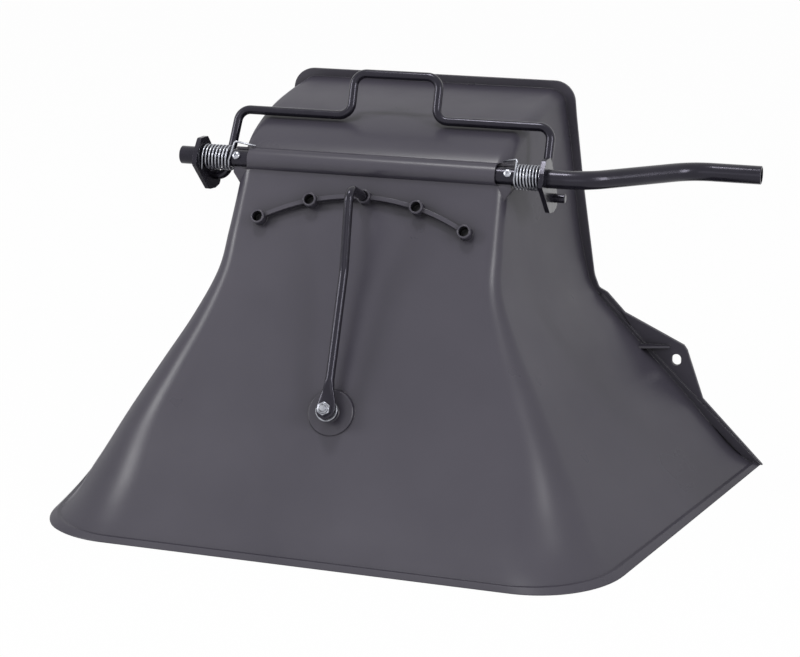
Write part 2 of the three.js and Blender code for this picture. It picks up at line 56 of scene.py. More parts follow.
# Hood sizes, the same as the solid's.
WALL = 3.2
RIM_Y = 214
BOTTOM_Z = -372
OVERRUN = 6
LEFT_TAPER = 0.05
# The left foot is drawn in below FOOT_TOP, most at FOOT_BOW_AT of the way back to the rim,
# and not at all beyond FOOT_BOW_REACH of the way from there.
FOOT_TOP = BOTTOM_Z + 42
LEFT_FOOT_IN = 25
LEFT_LUG_IN = 6
FOOT_BOW_AT = 0.56
FOOT_BOW_REACH = 0.5
# y, z, half width, corner radius, rim x and rim z of each form station.
STATIONS = np.array([
    [220, 60.5, 165, 20, 167, 34],
    [150, 53, 160, 19, 171, 12],
    [100, 46, 157, 18, 174, -10],
    [52, 34.5, 154, 17, 178, -40],
    [18, 21, 152, 16, 181, -68],
    [-4, 1, 151, 16, 185, -96],
    [-17, -25, 152, 16, 190, -124],
    [-43, -71, 155, 17, 196, -150],
    [-66, -112, 160, 20, 205, -174],
    [-93, -160, 181, 28, 234, -206],
    [-121, -208, 208, 37, 268, -240],
    [-155, -263, 238, 50, 309, -282],
    [-195, -318, 264, 78, 353, -329],
    [-225, -353, 282, 94, 382, -358],
    [-248, -378, 312, 104, 421, -380],
])
SKIN_ROWS = 150
CORNER_STEPS = 20
FLAT_STEPS = 12
SIDE_STEPS = 26
FLANGE_THICK = 4
FLANGE_TOP = 68.5
FLANGE_HALF = 174
FLANGE_CORNER = 25
BEAD_OUT = 2.2
BEAD_HEIGHT = 4.5
RIB_OUT = 2.4
LUG_THICK = 5
WEB_THICK = 2.5
# x, z, radius and half straight length of the right lug's slotted hole.
LUG_HOLE = (305, -252.6, 5.5, 1.5)
LUG_EDGE = [(238, -199), (313, -234.5), (317, -240), (339.5, -303), (300, -290)]
WEB_Z = -236

# Tube, barrel and latch.
TUBE_RADIUS = 10
TUBE_WALL = 2
TUBE_RUN = [(-224, 0, 0), (238, 0, 0), (336, 87, 0), (411, 87, 0)]
TUBE_BEND = 62
BARREL_RADIUS = 13.2
BARREL_HALF = 143.5
CRADLE_HALF = 159
SCREW_X = 155.2
SCREW_BORE = 2.7
GAP = 0.3
PLATE_THICK = 5
PLATE_X = {"left": -199, "right": 195}
PLATE_OUTLINE = [(-9, 22), (10, 21), (18, 12), (46, -30), (41, -40), (28, -42), (10, -40),
                 (-27, -4), (-21, 9)]
PLATE_CORNERS = [5, 5, 10, 7, 7, 7, 9, 5, 6]
# y and z of the bail's ends, long bar and finger hump.
PEG = (33, -28)
BAR = (60, 43.5)
HUMP = (77, 88.5)
LEG_X = 185
BAIL_BEND = 14
PEG_BENDS = {"left": 11, "right": 7}

# Lever, rings and pivot.
FACE_LEAN = math.radians(27.6)
PIVOT = (0, -142.2, -236.5)
INDEX_RADIUS = 238.5
INDEX_PITCH = math.radians(14.75)
ROD_RADIUS = 5
RING_BORE = 5.6
RING_OUTER = 7.8
RING_DEPTH = 12
RING_FOOT = -24
RIB_TOP = -4.5
RIB_HALF = 2.4
PAD_RADIUS = 24.5
BOSS_RADIUS = 8
BOSS_HEIGHT = 12.5
SEAT_DEPTH = 12
BOLT_RADIUS = 4
BOLT_HOLE = 4.3
WASHER_RADIUS = 12
WASHER_THICK = 1.6
PADDLE_THICK = 4.5
PADDLE_RADIUS = 10.5
NUT_HEIGHT = 8
HEAD_HEIGHT = 5.3
VANE_SHEET = 2.5
FLATS = 13

# Springs.
SPRING_WIRE = 1.1
SPRING_RADIUS = 12.9
SPRING_TURNS = 8
SPRING_INNER = 163
# Peak x, rest x and rest y of each spring's inner leg.
SPRING_LEG = {"left": (156, 136, 1), "right": (166, 147, 3)}

# Floor and surrounding light, in metres and shares of white.
FLOOR_REACH = 30
FLOOR_Z = -0.0005
FLOOR_WHITE = 0.98
SKY_STRENGTH = 0.2
AIM = (0, 0, 0.2)

# Plastic colours, linear.
PLASTIC_DARK = (0.052, 0.048, 0.064)
PLASTIC_LIGHT = (0.066, 0.061, 0.079)


def vec(*values):
    return np.array(values, dtype=float)


def unit(v):
    return v / np.linalg.norm(v)


def frame_of(across, up, out, origin):
    """Maps (u, v, w) to across, up and out from an origin."""
    axes = np.array([across, up, out], dtype=float)
    return lambda points: np.asarray(points, dtype=float) @ axes + np.array(origin, dtype=float)


FACE_UP = vec(0, math.sin(FACE_LEAN), math.cos(FACE_LEAN))
FACE_OUT = vec(0, -math.cos(FACE_LEAN), math.sin(FACE_LEAN))
FACE = frame_of((1, 0, 0), FACE_UP, FACE_OUT, PIVOT)
ALONG_TUBE = frame_of((0, 1, 0), (0, 0, 1), (1, 0, 0), (0, 0, 0))
ALONG_RIM = frame_of((1, 0, 0), (0, 0, 1), (0, 1, 0), (0, 0, 0))
FLAT = frame_of((1, 0, 0), (0, 1, 0), (0, 0, 1), (0, 0, 0))


def tube_frame(x):
    return frame_of((1, 0, 0), FACE_UP, FACE_OUT, (x, 0, 0))


# Mesh building.
def mesh_object(name, points, faces):
    """A closed mesh in the frame's metres, with its faces turned outwards."""
    points = (np.asarray(points, dtype=float) + SHIFT) / 1000
    mesh = bpy.data.meshes.new(name)
    mesh.from_pydata([tuple(p) for p in points], [], faces)
    bm = bmesh.new()
    bm.from_mesh(mesh)
    bmesh.ops.remove_doubles(bm, verts=bm.verts, dist=1e-7)
    bmesh.ops.recalc_face_normals(bm, faces=bm.faces)
    bm.to_mesh(mesh)
    bm.free()
    obj = bpy.data.objects.new(name, mesh)
    bpy.context.scene.collection.objects.link(obj)
    return obj


def combine(target, tools, operation):
    """Joins, cuts or keeps with each tool in turn, then deletes the tools."""
    for tool in tools:
        step = target.modifiers.new("step", "BOOLEAN")
        step.operation = operation
        step.solver = "MANIFOLD"
        step.object = tool
        graph = bpy.context.evaluated_depsgraph_get()
        graph.update()
        made = bpy.data.meshes.new_from_object(target.evaluated_get(graph))
        target.modifiers.clear()
        old = target.data
        target.data = made
        bpy.data.meshes.remove(old)
        bpy.data.objects.remove(tool)
    return target


def rings_mesh(name, rings, closed=False):
    """Skin through rings of equal size, capped at both ends unless the rings close."""
    count = len(rings)
    sides = len(rings[0])
    points = np.concatenate(rings)
    faces = []
    for i in range(count if closed else count - 1):
        a, b = i * sides, ((i + 1) % count) * sides
        for j in range(sides):
            k = (j + 1) % sides
            faces.append((a + j, a + k, b + k, b + j))
    if not closed:
        faces.append(tuple(range(sides)))
        faces.append(tuple(range((count - 1) * sides, count * sides)))
    return mesh_object(name, points, faces)


def lathe(name, outline, place, segments=64):
    """Round body from a closed outline of (radius, height) pairs, about w of its place."""
    angles = np.arange(segments) * 2 * math.pi / segments
    rings = []
    for radius, height in outline:
        ring = [(max(radius, 1e-4) * math.cos(a), max(radius, 1e-4) * math.sin(a), height)
                for a in angles]
        rings.append(place(ring))
    return rings_mesh(name, rings, closed=outline[0][0] > 0)


def rod(name, radius, low, high, place, segments=48):
    return lathe(name, [(0, low), (radius, low), (radius, high), (0, high)], place, segments)


def prism(name, corners, low, high, place):
    base = place([(u, v, low) for u, v in corners])
    top = place([(u, v, high) for u, v in corners])
    return rings_mesh(name, [base, top])


def circle(x, y, radius, start=0.0, turn=2 * math.pi, steps=48):
    angles = start + turn * np.arange(steps + 1) / steps
    points = [(x + radius * math.cos(a), y + radius * math.sin(a)) for a in angles]
    return points[:-1] if abs(turn) > 6.28 else points


def corner_arc(before, here, after, radius, steps):
    """Points and directions of the arc between two straight runs."""
    into, out = unit(here - before), unit(after - here)
    turn = math.acos(max(-1.0, min(1.0, float(into @ out))))
    if turn < 1e-3:
        return [(here, into)]
    side = unit(out - into * (into @ out))
    start = here - into * radius * math.tan(turn / 2)
    centre = start + side * radius
    arc = []
    for k in range(steps + 1):
        a = turn * k / steps
        point = centre - side * radius * math.cos(a) + into * radius * math.sin(a)
        arc.append((point, into * math.cos(a) + side * math.sin(a)))
    return arc


def bent_run(corners, radii, steps):
    corners = [vec(*c) for c in corners]
    run = [(corners[0], unit(corners[1] - corners[0]))]
    for i in range(1, len(corners) - 1):
        run += corner_arc(corners[i - 1], corners[i], corners[i + 1], radii[i - 1], steps)
    run.append((corners[-1], unit(corners[-1] - corners[-2])))
    return run


def rounded(corners, radii, steps=8):
    """Polygon with each corner rounded by its own radius, or left sharp at radius 0."""
    points = []
    count = len(corners)
    for i, radius in enumerate(radii):
        if radius == 0:
            points.append(corners[i])
            continue
        before = vec(*corners[i - 1], 0)
        here = vec(*corners[i], 0)
        after = vec(*corners[(i + 1) % count], 0)
        points += [(p[0], p[1]) for p, _ in corner_arc(before, here, after, radius, steps)]
    return points


def carried_frames(run):
    """Normal and binormal at each station, turned only as far as the run turns."""
    tangent = run[0][1]
    normal = unit(np.cross(tangent, vec(0.31, 0.47, 0.83)))
    frames = []
    for _, heading in run:
        normal = unit(normal - heading * (normal @ heading))
        frames.append((normal, np.cross(heading, normal)))
    return frames


def swept_rings(run, radius, sides):
    angles = np.arange(sides) * 2 * math.pi / sides
    rings = []
    for (point, _), (normal, binormal) in zip(run, carried_frames(run)):
        rings.append(np.array([
            point + radius * (normal * math.cos(a) + binormal * math.sin(a)) for a in angles
        ]))
    return rings


def eased_ends(run, radius, sides, ease):
    """Rings of a round wire whose cut ends have a small chamfer."""
    first, last = run[0], run[-1]
    inner = [(first[0] + first[1] * ease, first[1])] + run[1:-1]
    inner.append((last[0] - last[1] * ease, last[1]))
    rings = swept_rings(inner, radius, sides)
    small = swept_rings([first] + run[1:-1] + [last], radius - ease, sides)
    return [small[0]] + rings + [small[-1]]


def wire(name, run, radius, sides, ease=0.7):
    return rings_mesh(name, eased_ends(run, radius, sides, ease))


# Hood form.
def smooth_row(index):
    """Catmull-Rom value of all station columns at a fractional index."""
    last = len(STATIONS) - 1
    i = min(int(index), last - 1)
    t = index - i
    b, c = STATIONS[i], STATIONS[i + 1]
    a = STATIONS[i - 1] if i > 0 else 2 * b - c
    d = STATIONS[i + 2] if i + 2 <= last else 2 * c - b
    rise, fall = (c - a) / 2, (d - b) / 2
    cubic = 2 * b - 2 * c + rise + fall
    square = -3 * b + 3 * c - 2 * rise - fall
    return b + rise * t + square * t ** 2 + cubic * t ** 3


def left_of(x, y, z):
    """Place on the left half that matches a place on the right half."""
    share = max(0.0, y) / RIM_Y
    low = max(0.0, (FOOT_TOP - z) / (FOOT_TOP - BOTTOM_Z + OVERRUN)) ** 2
    front = STATIONS[-1][0]
    along = max(0.0, y - front) / (RIM_Y - front)
    bow = max(0.0, 1 - ((along - FOOT_BOW_AT) / FOOT_BOW_REACH) ** 2)
    return LEFT_FOOT_IN * low * bow - x * (1 - LEFT_TAPER * share * share)


def full_row(index):
    y, z, half, radius, rim_x, rim_z = smooth_row(index)
    middle, corner = vec(0, y, z), vec(half, y, z)
    rim = vec(rim_x, RIM_Y + OVERRUN, rim_z)
    bend = [p for p, _ in corner_arc(middle, corner, rim, radius, CORNER_STEPS)]
    flat = [middle + (bend[0] - middle) * k / FLAT_STEPS for k in range(FLAT_STEPS)]
    side = [bend[-1] + (rim - bend[-1]) * k / SIDE_STEPS for k in range(1, SIDE_STEPS + 1)]
    right = flat + bend + side
    left = [vec(left_of(*p), p[1], p[2]) for p in reversed(right[1:])]
    return np.array(left + right)


def skin_grid(start, rows, offset):
    last = len(STATIONS) - 1
    grid = np.array([full_row(start + (last - start) * i / rows) for i in range(rows + 1)])
    across = np.gradient(grid, axis=1)
    down = np.gradient(grid, axis=0)
    normal = -np.cross(across, down)
    normal /= np.linalg.norm(normal, axis=2, keepdims=True)
    return grid + normal * offset


def hood_form(name, offset, start=0.0, rows=SKIN_ROWS):
    """Solid form bounded by the skin, closed across the deck side and both ends."""
    grid = skin_grid(start, rows, offset)
    count, columns = grid.shape[:2]
    faces = []
    for i in range(count - 1):
        a, b = i * columns, (i + 1) * columns
        for j in range(columns - 1):
            faces.append((a + j, a + j + 1, b + j + 1, b + j))
        faces.append((a + columns - 1, a, b, b + columns - 1))
    faces.append(tuple(range(columns)))
    faces.append(tuple(range((count - 1) * columns, count * columns)))
    return mesh_object(name, grid.reshape(-1, 3), faces)


def bottom_bead():
    last = len(STATIONS) - 1
    fall = STATIONS[last - 1][1] - STATIONS[last][1]
    start = last - (BEAD_HEIGHT + BOTTOM_Z - STATIONS[last][1]) / fall
    return hood_form("bead", BEAD_OUT, start, 8)


def rim_flange():
    right = [
        (FLANGE_HALF, FLANGE_TOP), (178, 29), (187, -44),
        (204, -158), (210, -173), (220, -178), (241, -200), (413, BOTTOM_Z - 2),
    ]
    left = [(left_of(x, RIM_Y, z), z) for x, z in reversed(right)]
    radii = [0, 4, 6, 6, 40, 60, 60, FLANGE_CORNER]
    points = rounded(left + right, radii + radii[::-1], 10)
    return prism("flange", points, RIM_Y - FLANGE_THICK, RIM_Y, ALONG_RIM)


def side_lug(side):
    def across(x):
        return x if side > 0 else left_of(x - LEFT_LUG_IN, RIM_Y, 0)
    corners = [(across(x), z) for x, z in LUG_EDGE]
    plate = prism("lug", corners, RIM_Y - LUG_THICK, RIM_Y, ALONG_RIM)
    web = [(240, RIM_Y - 1), (297, RIM_Y - 1), (297, RIM_Y - LUG_THICK - 2.5),
           (255, RIM_Y - 22), (240, RIM_Y - 27)]
    gusset = prism("gusset", [(across(x), y) for x, y in web], WEB_Z - WEB_THICK, WEB_Z, FLAT)
    return [plate, gusset]


def foot_rib(side):
    def across(x, z):
        return x if side > 0 else left_of(x, RIM_Y, z)
    line = [(212, -181), (265, -236), (329, -298), (407, BOTTOM_Z)]
    inner = [(across(x - 6, z), z - 4) for x, z in line]
    outer = [(across(x + RIB_OUT, z), z + 1) for x, z in reversed(line)]
    return prism("foot_rib", inner + outer, RIM_Y - FLANGE_THICK - RIB_OUT,
                 RIM_Y - FLANGE_THICK / 2, ALONG_RIM)


def cradle_web(side):
    end = CRADLE_HALF
    corners = [(end - 25, 0), (end, 0), (end, -14), (end - 7, -25), (end - 25, -38)]
    return prism("cradle_web", [(side * x, z) for x, z in corners], -9, 12, ALONG_RIM)


def lug_slot(side):
    x, z, radius, reach = LUG_HOLE
    x = x if side > 0 else left_of(x - LEFT_LUG_IN, RIM_Y, 0)
    top = circle(x, z + reach, radius, 0, math.pi, 20)
    low = circle(x, z - reach, radius, math.pi, math.pi, 20)
    return prism("slot", top + low, RIM_Y - 10, RIM_Y + 2, ALONG_RIM)


def index_places():
    for i in range(-2, 3):
        angle = i * INDEX_PITCH
        centre = (INDEX_RADIUS * math.sin(angle), INDEX_RADIUS * math.cos(angle), 0)
        origin = FACE([centre])[0]
        yield frame_of((1, 0, 0), FACE_UP, FACE_OUT, origin)


def index_rings():
    ease = 0.7
    outline = [(0, RING_FOOT), (RING_OUTER, RING_FOOT), (RING_OUTER, -ease),
               (RING_OUTER - ease, 0), (0, 0)]
    made = [lathe("ring", outline, place) for place in index_places()]
    half = math.pi / 2
    sweep = 2 * INDEX_PITCH
    band = circle(0, 0, INDEX_RADIUS + RIB_HALF, half - sweep, 2 * sweep, 60)
    band += circle(0, 0, INDEX_RADIUS - RIB_HALF, half + sweep, -2 * sweep, 60)
    made.append(prism("rib", band, RING_FOOT, RIB_TOP, FACE))
    return made


def index_bores():
    return [rod("bore", RING_BORE, -RING_DEPTH, 2, place) for place in index_places()]


def pivot_pad():
    outline = [(0, -14), (PAD_RADIUS + 1.5, -14), (PAD_RADIUS + 1.5, -4), (PAD_RADIUS + 0.4, -0.6),
               (PAD_RADIUS - 0.4, 0), (BOSS_RADIUS + 2, 0), (BOSS_RADIUS + 1, 1),
               (BOSS_RADIUS, BOSS_HEIGHT), (0, BOSS_HEIGHT)]
    return lathe("pad", outline, FACE, 72)


def end_window(side):
    near, far, tall = BARREL_HALF - 2, CRADLE_HALF + 8, BARREL_RADIUS - 1.5
    corners = [(side * near, -tall), (side * far, -tall - 6), (side * far, tall + 6),
               (side * near, tall)]
    return prism("window", rounded(corners, [4] * 4), 3, 30, tube_frame(0))


def barrel():
    turned = [(0, -CRADLE_HALF), (BARREL_RADIUS - 0.5, -CRADLE_HALF),
              (BARREL_RADIUS, -CRADLE_HALF + 0.5), (BARREL_RADIUS, CRADLE_HALF - 0.5),
              (BARREL_RADIUS - 0.5, CRADLE_HALF), (0, CRADLE_HALF)]
    return lathe("barrel", turned, ALONG_TUBE, 96)


def make_hood():
    body = hood_form("hood_moulding", 0)
    outside = [bottom_bead(), rim_flange(), pivot_pad()] + index_rings()
    for side in (-1, 1):
        outside += side_lug(side) + [foot_rib(side), cradle_web(side)]
    combine(body, outside, "UNION")
    combine(body, [hood_form("inside", -WALL)], "DIFFERENCE")
    combine(body, [barrel(), rod("seat", 15, -SEAT_DEPTH, -4, FACE)], "UNION")
    cuts = index_bores() + [rod("bolt_bore", BOLT_HOLE, -30, 30, FACE)]
    reach = CRADLE_HALF + 20
    cuts.append(rod("tube_bore", TUBE_RADIUS + GAP, -reach, reach, ALONG_TUBE, 96))
    for side in (-1, 1):
        cuts += [end_window(side), lug_slot(side)]
        cuts.append(rod("screw_bore", SCREW_BORE, -30, 10, tube_frame(side * SCREW_X), 32))
    combine(body, cuts, "DIFFERENCE")
    keep = [(-1000, -1000), (1000, -1000), (1000, RIM_Y), (-1000, RIM_Y)]
    return combine(body, [prism("keep", keep, BOTTOM_Z, 500, FLAT)], "INTERSECT")


# Tube and wires.
def make_tube():
    run = bent_run(TUBE_RUN, [TUBE_BEND, TUBE_BEND], 24)
    outer = eased_ends(run, TUBE_RADIUS, 64, 0.6)
    inner = swept_rings(run, TUBE_RADIUS - TUBE_WALL, 64)
    body = rings_mesh("cross_tube_fine", outer + inner[::-1], closed=True)
    bores = [rod("bore", SCREW_BORE, -20, 20, tube_frame(s * SCREW_X), 32) for s in (-1, 1)]
    return combine(body, bores, "DIFFERENCE")


def make_bail():
    corners = [
        (-217, *PEG), (-LEG_X, *PEG), (-177, *BAR), (-45, *BAR), (-45, *HUMP),
        (54, *HUMP), (54, *BAR), (186, *BAR), (LEG_X, *PEG), (209, *PEG),
    ]
    radii = [PEG_BENDS["left"]] + [BAIL_BEND] * 6 + [PEG_BENDS["right"]]
    run = bent_run(corners, radii, 12)
    return wire("bail_fine", run, ROD_RADIUS, 40)


def make_spring(end):
    side = 1 if end == "right" else -1
    outer = abs(PLATE_X[end]) - PLATE_THICK / 2 - SPRING_WIRE - 2 * GAP
    reach = outer - SPRING_INNER
    rise = reach / (SPRING_TURNS * 2 * math.pi * SPRING_RADIUS)
    peak_x, rest_x, over = SPRING_LEG[end]
    peak = vec(peak_x, -9.5, 21)
    rest = vec(rest_x, over, BARREL_RADIUS + SPRING_WIRE + 2 * GAP)
    coil = vec(SPRING_INNER, -SPRING_RADIUS, 6)
    run = [(rest, unit(peak - rest))] + corner_arc(rest, peak, coil, 2.4, 8)
    steps = SPRING_TURNS * 40
    for i in range(steps + 1):
        angle = 2 * math.pi * SPRING_TURNS * i / steps
        point = vec(SPRING_INNER + reach * i / steps,
                    -SPRING_RADIUS * math.cos(angle), -SPRING_RADIUS * math.sin(angle))
        run.append((point, unit(vec(rise, math.sin(angle), -math.cos(angle)))))
    last = run[-1]
    run.append((last[0] + last[1] * 12, last[1]))
    flipped = [(p * vec(side, 1, 1), t * vec(side, 1, 1)) for p, t in run]
    return wire(f"spring_{end}_fine", flipped, SPRING_WIRE, 12, 0.25)


def make_plate(end):
    outline = rounded(PLATE_OUTLINE, PLATE_CORNERS)
    middle = PLATE_X[end]
    low, high = middle - PLATE_THICK / 2, middle + PLATE_THICK / 2
    body = prism(f"plate_{end}_fine", outline, low, high, ALONG_TUBE)
    peg_place = frame_of((0, 1, 0), (0, 0, 1), (1, 0, 0), (0, *PEG))
    cuts = [rod("bore", TUBE_RADIUS + GAP, low - 5, high + 5, ALONG_TUBE, 72)]
    cuts.append(rod("peg_bore", ROD_RADIUS + GAP, low - 5, high + 5, peg_place))
    return combine(body, cuts, "DIFFERENCE")


def make_screw(end):
    side = 1 if end == "right" else -1
    seat = TUBE_RADIUS + GAP
    place = tube_frame(side * SCREW_X)
    outline = [(0, -15), (2.3, -15), (2.3, seat), (4.6, seat), (4.7, seat + 0.2),
               (4.7, seat + 1.3), (4.3, seat + 2.3), (3.2, seat + 3.1), (1.8, seat + 3.4),
               (0, seat + 3.4)]
    body = lathe(f"screw_{end}_fine", outline, place, 48)
    star = []
    for i in range(24):
        angle = 2 * math.pi * i / 24
        radius = 1.75 + 0.35 * math.cos(6 * angle)
        star.append((radius * math.cos(angle), radius * math.sin(angle)))
    return combine(body, [prism("drive", star, seat + 1.5, seat + 5, place)], "DIFFERENCE")


# Pivot stack.
def make_lever():
    base = BOSS_HEIGHT + WASHER_THICK + 2 * GAP
    middle = base + PADDLE_THICK / 2
    corners = [(0, -11, middle), (0, 20, middle), (0, 60, middle + 2), (0, 150, 25),
               (0, INDEX_RADIUS - 4.4, 47), (0, INDEX_RADIUS, RIB_TOP + GAP)]
    run = bent_run(corners, [20, 40, 60, 12], 10)
    dense = [run[0]]
    for here, there in zip(run, run[1:]):
        length = np.linalg.norm(there[0] - here[0])
        parts = max(1, int(length / 3)) if here[0][1] < 60 else 1
        for k in range(1, parts + 1):
            dense.append((here[0] + (there[0] - here[0]) * k / parts, there[1]))
    rings = []
    angles = np.arange(40) * 2 * math.pi / 40
    for point, heading in dense:
        along = point[1]
        side = vec(1, 0, 0)
        out = unit(np.cross(side, heading)) * -1
        wide, thick = paddle_section(along)
        if point[2] > 46 or along > 200:
            wide, thick = ROD_RADIUS, ROD_RADIUS
        power = 2.0 if wide <= ROD_RADIUS + 0.01 else 1.2
        ring = []
        for a in angles:
            c, s = math.cos(a), math.sin(a)
            u = math.copysign(abs(c) ** (power / 2), c) * wide
            v = math.copysign(abs(s) ** (power / 2), s) * thick
            ring.append(point + side * u + out * v)
        rings.append(FACE(np.array(ring)))
    body = rings_mesh("lever_fine", rings)
    return combine(body, [rod("bolt_bore", BOLT_HOLE, -5, 40, FACE)], "DIFFERENCE")


def paddle_section(along):
    """Half width and half thickness of the pressed end at a distance up the lever."""
    if along < 0:
        wide = math.sqrt(max(PADDLE_RADIUS ** 2 - along ** 2, 1.0))
        return wide, PADDLE_THICK / 2
    ease = min(1.0, along / 32)
    ease = ease * ease * (3 - 2 * ease)
    wide = PADDLE_RADIUS + (ROD_RADIUS - PADDLE_RADIUS) * ease
    swell = max(0.0, min(1.0, (along - 12) / 22))
    swell = swell * swell * (3 - 2 * swell)
    thick = PADDLE_THICK / 2 + (ROD_RADIUS - PADDLE_THICK / 2) * swell
    return wide, thick


def make_washer(name, low):
    r, h, e = WASHER_RADIUS, WASHER_THICK, 0.25
    outline = [(BOLT_HOLE, low), (r - e, low), (r, low + e), (r, low + h - e), (r - e, low + h),
               (BOLT_HOLE, low + h)]
    return lathe(name, outline, FACE, 72)


def hexagon(name, low, high):
    radius = FLATS / math.sqrt(3)
    angles = [math.pi * (i + 0.5) / 3 for i in range(6)]
    corners = [(radius * math.cos(a), radius * math.sin(a)) for a in angles]
    body = prism(name, corners, low, high, FACE)
    edge = FLATS / 2 - 0.1
    cone = [(0, low - 0.1), (edge, low - 0.1), (edge + 1.6, low + 0.9), (edge + 1.6, high - 0.9),
            (edge, high + 0.1), (0, high + 0.1)]
    return combine(body, [lathe("cone", cone, FACE, 72)], "INTERSECT")


def make_nut():
    base = BOSS_HEIGHT + WASHER_THICK + PADDLE_THICK + 3 * GAP
    body = hexagon("nut_fine", base, base + NUT_HEIGHT - 2)
    collar = [(0, base + 4), (5.9, base + 4), (5.9, base + NUT_HEIGHT - 1.2),
              (5.2, base + NUT_HEIGHT - 0.2), (4.9, base + NUT_HEIGHT), (0, base + NUT_HEIGHT)]
    combine(body, [lathe("collar", collar, FACE, 64)], "UNION")
    bore = rod("bore", BOLT_HOLE, base - 2, base + NUT_HEIGHT + 2, FACE)
    return combine(body, [bore], "DIFFERENCE")


def make_bolt():
    head = -SEAT_DEPTH - VANE_SHEET - WASHER_THICK - 3 * GAP
    body = hexagon("bolt_fine", head - HEAD_HEIGHT, head)
    top = BOSS_HEIGHT + WASHER_THICK + PADDLE_THICK + NUT_HEIGHT + 2.5
    outline = [(0, head - 2), (BOLT_RADIUS, head - 2)]
    thread_from = BOSS_HEIGHT + WASHER_THICK + PADDLE_THICK + 2
    outline.append((BOLT_RADIUS, thread_from))
    z = thread_from
    while z < top - 1.6:
        outline += [(BOLT_RADIUS - 0.55, z + 0.45), (BOLT_RADIUS, z + 0.9), (BOLT_RADIUS, z + 1.1)]
        z += 1.25
    outline += [(BOLT_RADIUS - 1, top), (0, top)]
    return combine(body, [lathe("shank", outline, FACE, 48)], "UNION")


# Shading of edges: smooth faces, sharp where two faces meet at more than the angle.
def smooth_by_angle(obj, degrees):
    for polygon in obj.data.polygons:
        polygon.use_smooth = True
    obj.data.set_sharp_from_angle(angle=math.radians(degrees))


# Materials.
class Nodes:
    """A material's node tree with short calls for adding and joining nodes."""

    def __init__(self, name):
        self.material = bpy.data.materials.new(name)
        self.material.use_nodes = True
        self.tree = self.material.node_tree
        self.tree.nodes.clear()
        self.shader = self.add("ShaderNodeBsdfPrincipled")
        self.output = self.add("ShaderNodeOutputMaterial")
        self.join(self.shader.outputs[0], self.output.inputs["Surface"])
        self.place = self.add("ShaderNodeTexCoord").outputs["Object"]

    def add(self, kind):
        return self.tree.nodes.new(kind)

    def join(self, a, b):
        self.tree.links.new(a, b)

    def noise(self, scale, detail=3.0, rough=0.5):
        node = self.add("ShaderNodeTexNoise")
        node.inputs["Scale"].default_value = scale
        node.inputs["Detail"].default_value = detail
        node.inputs["Roughness"].default_value = rough
        self.join(self.place, node.inputs["Vector"])
        return node.outputs["Fac"]

    def ramp(self, source, low, high, start=0.35, end=0.65):
        node = self.add("ShaderNodeValToRGB")
        node.color_ramp.elements[0].position = start
        node.color_ramp.elements[0].color = (*low, 1)
        node.color_ramp.elements[1].position = end
        node.color_ramp.elements[1].color = (*high, 1)
        self.join(source, node.inputs["Fac"])
        return node.outputs["Color"]

    def spread(self, source, low, high):
        node = self.add("ShaderNodeMapRange")
        node.inputs["From Min"].default_value = 0.3
        node.inputs["From Max"].default_value = 0.7
        node.inputs["To Min"].default_value = low
        node.inputs["To Max"].default_value = high
        self.join(source, node.inputs["Value"])
        return node.outputs["Result"]

    def bump(self, source, strength, distance, before=None):
        node = self.add("ShaderNodeBump")
        node.inputs["Strength"].default_value = strength
        node.inputs["Distance"].default_value = distance
        self.join(source, node.inputs["Height"])
        if before is not None:
            self.join(before, node.inputs["Normal"])
        return node.outputs["Normal"]

    def slant(self, front, edge):
        """One value where the surface faces the eye, another where it is seen edge on."""
        weight = self.add("ShaderNodeLayerWeight")
        node = self.add("ShaderNodeMapRange")
        node.inputs["From Min"].default_value = 0.1
        node.inputs["From Max"].default_value = 0.8
        node.inputs["To Min"].default_value = front
        node.inputs["To Max"].default_value = edge
        self.join(weight.outputs["Facing"], node.inputs["Value"])
        return node.outputs["Result"]

    def painted_crease_shade(self, colour):
        """The colour with painted shade: darker in inner corners, creases and under parts, where
        shade falls.
        """
        node = self.add("ShaderNodeAmbientOcclusion")
        node.samples = 6
        node.inputs["Distance"].default_value = 0.022
        self.join(colour, node.inputs["Color"])
        return node.outputs["Color"]

    def soft_edge(self, radius):
        node = self.add("ShaderNodeBevel")
        node.samples = 4
        node.inputs["Radius"].default_value = radius
        return node.outputs["Normal"]


def moulded_plastic(name, dark, light, low, high):
    """Satin moulded plastic: fine grain, faint mottling, painted shade in the creases and soft edges.
    """
    n = Nodes(name)
    mottled = n.ramp(n.noise(5, 4), dark, light, 0.3, 0.7)
    # Painted shade: the base colour is darkened by ambient occlusion in creases, under the barrel and
    # around the rings.
    n.join(n.painted_crease_shade(mottled), n.shader.inputs["Base Color"])
    n.join(n.spread(n.noise(14, 5), low, high), n.shader.inputs["Roughness"])
    edge = n.soft_edge(0.0012)
    grain = n.bump(n.noise(900, 2, 0.6), 0.12, 0.0002, edge)
    waves = n.bump(n.noise(9, 1), 0.12, 0.004, grain)
    n.join(waves, n.shader.inputs["Normal"])
    n.join(n.slant(0.42, 0.02), n.shader.inputs["Specular IOR Level"])
    return n.material


def gloss_paint():
    """Black powder coat with a slight orange peel."""
    n = Nodes("black_powder_coat")
    n.join(n.ramp(n.noise(30, 3), (0.006, 0.0055, 0.009), (0.010, 0.009, 0.014)),
           n.shader.inputs["Base Color"])
    n.join(n.spread(n.noise(60, 4), 0.18, 0.28), n.shader.inputs["Roughness"])
    edge = n.soft_edge(0.0006)
    peel = n.bump(n.noise(420, 2), 0.10, 0.0003, edge)
    n.join(peel, n.shader.inputs["Normal"])
    n.shader.inputs["Specular IOR Level"].default_value = 0.4
    n.shader.inputs["Specular Tint"].default_value = (0.86, 0.83, 1.0, 1)
    return n.material


